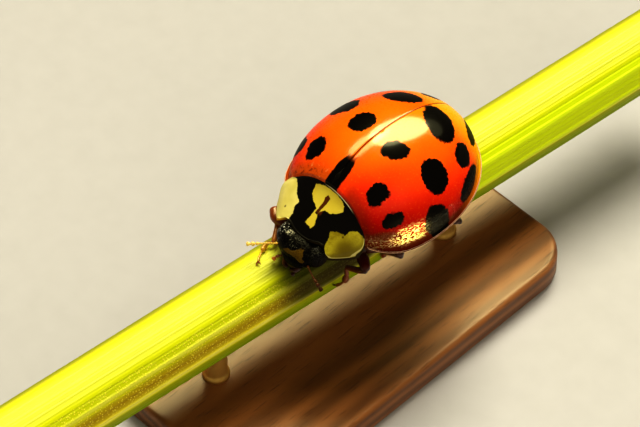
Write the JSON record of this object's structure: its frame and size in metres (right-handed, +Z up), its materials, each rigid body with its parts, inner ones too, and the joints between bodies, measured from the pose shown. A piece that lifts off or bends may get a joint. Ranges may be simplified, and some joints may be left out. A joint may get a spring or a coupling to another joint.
{
  "type": "ladybird",
  "caption": "Life-size spotted ladybird with closed orange wing cases, gripping a short cut length of green stem on a small flat display stand.",
  "frame": {"origin": "on the floor, at the middle of the underside of the stand's base", "axes": "+Z up; the ladybird faces -Y and its left side is +X; the stem runs along Y, turned six degrees towards +X at its rear end"},
  "size_m": [0.0064, 0.0257, 0.0076],
  "materials": {
    "wing_cases": "glossy orange-red wing cases with black spots",
    "pronotum": "glossy, cream and black",
    "head": "glossy finely pitted black with a dull yellow face patch",
    "eyes": "glossy black, finely faceted",
    "mouthparts": "satin dark reddish brown",
    "feelers": "satin orange-brown",
    "underside": "satin dark brown, paler at the edges",
    "legs": "satin red-brown",
    "stem": "satin yellow-green, ribbed lengthwise",
    "stand_base": "satin oiled wood",
    "stand_rods": "satin brass"
  },
  "bodies": {
    "root": {"elytron_left": "wing_cases", "elytron_right": "wing_cases", "scutellum": "wing_cases", "pronotum": "pronotum", "head": "head", "eye_left": "eyes", "eye_right": "eyes", "mouthparts": "mouthparts", "antenna_left_stalk": "feelers", "antenna_left_club": "feelers", "antenna_right_stalk": "feelers", "antenna_right_club": "feelers", "prothorax": "underside", "thorax": "underside", "abdomen": "underside", "leg_front_left_hip": "legs", "leg_front_left_thigh": "legs", "leg_front_left_shin": "legs", "leg_front_left_foot": "legs", "leg_front_right_hip": "legs", "leg_front_right_thigh": "legs", "leg_front_right_shin": "legs", "leg_front_right_foot": "legs", "leg_middle_left_hip": "legs", "leg_middle_left_thigh": "legs", "leg_middle_left_shin": "legs", "leg_middle_left_foot": "legs", "leg_middle_right_hip": "legs", "leg_middle_right_thigh": "legs", "leg_middle_right_shin": "legs", "leg_middle_right_foot": "legs", "leg_hind_left_hip": "legs", "leg_hind_left_thigh": "legs", "leg_hind_left_shin": "legs", "leg_hind_left_foot": "legs", "leg_hind_right_hip": "legs", "leg_hind_right_thigh": "legs", "leg_hind_right_shin": "legs", "leg_hind_right_foot": "legs", "perch_stem": "stem", "stand_base": "stand_base", "stand_rod_front": "stand_rods", "stand_rod_rear": "stand_rods"}
  },
  "joints": []
}
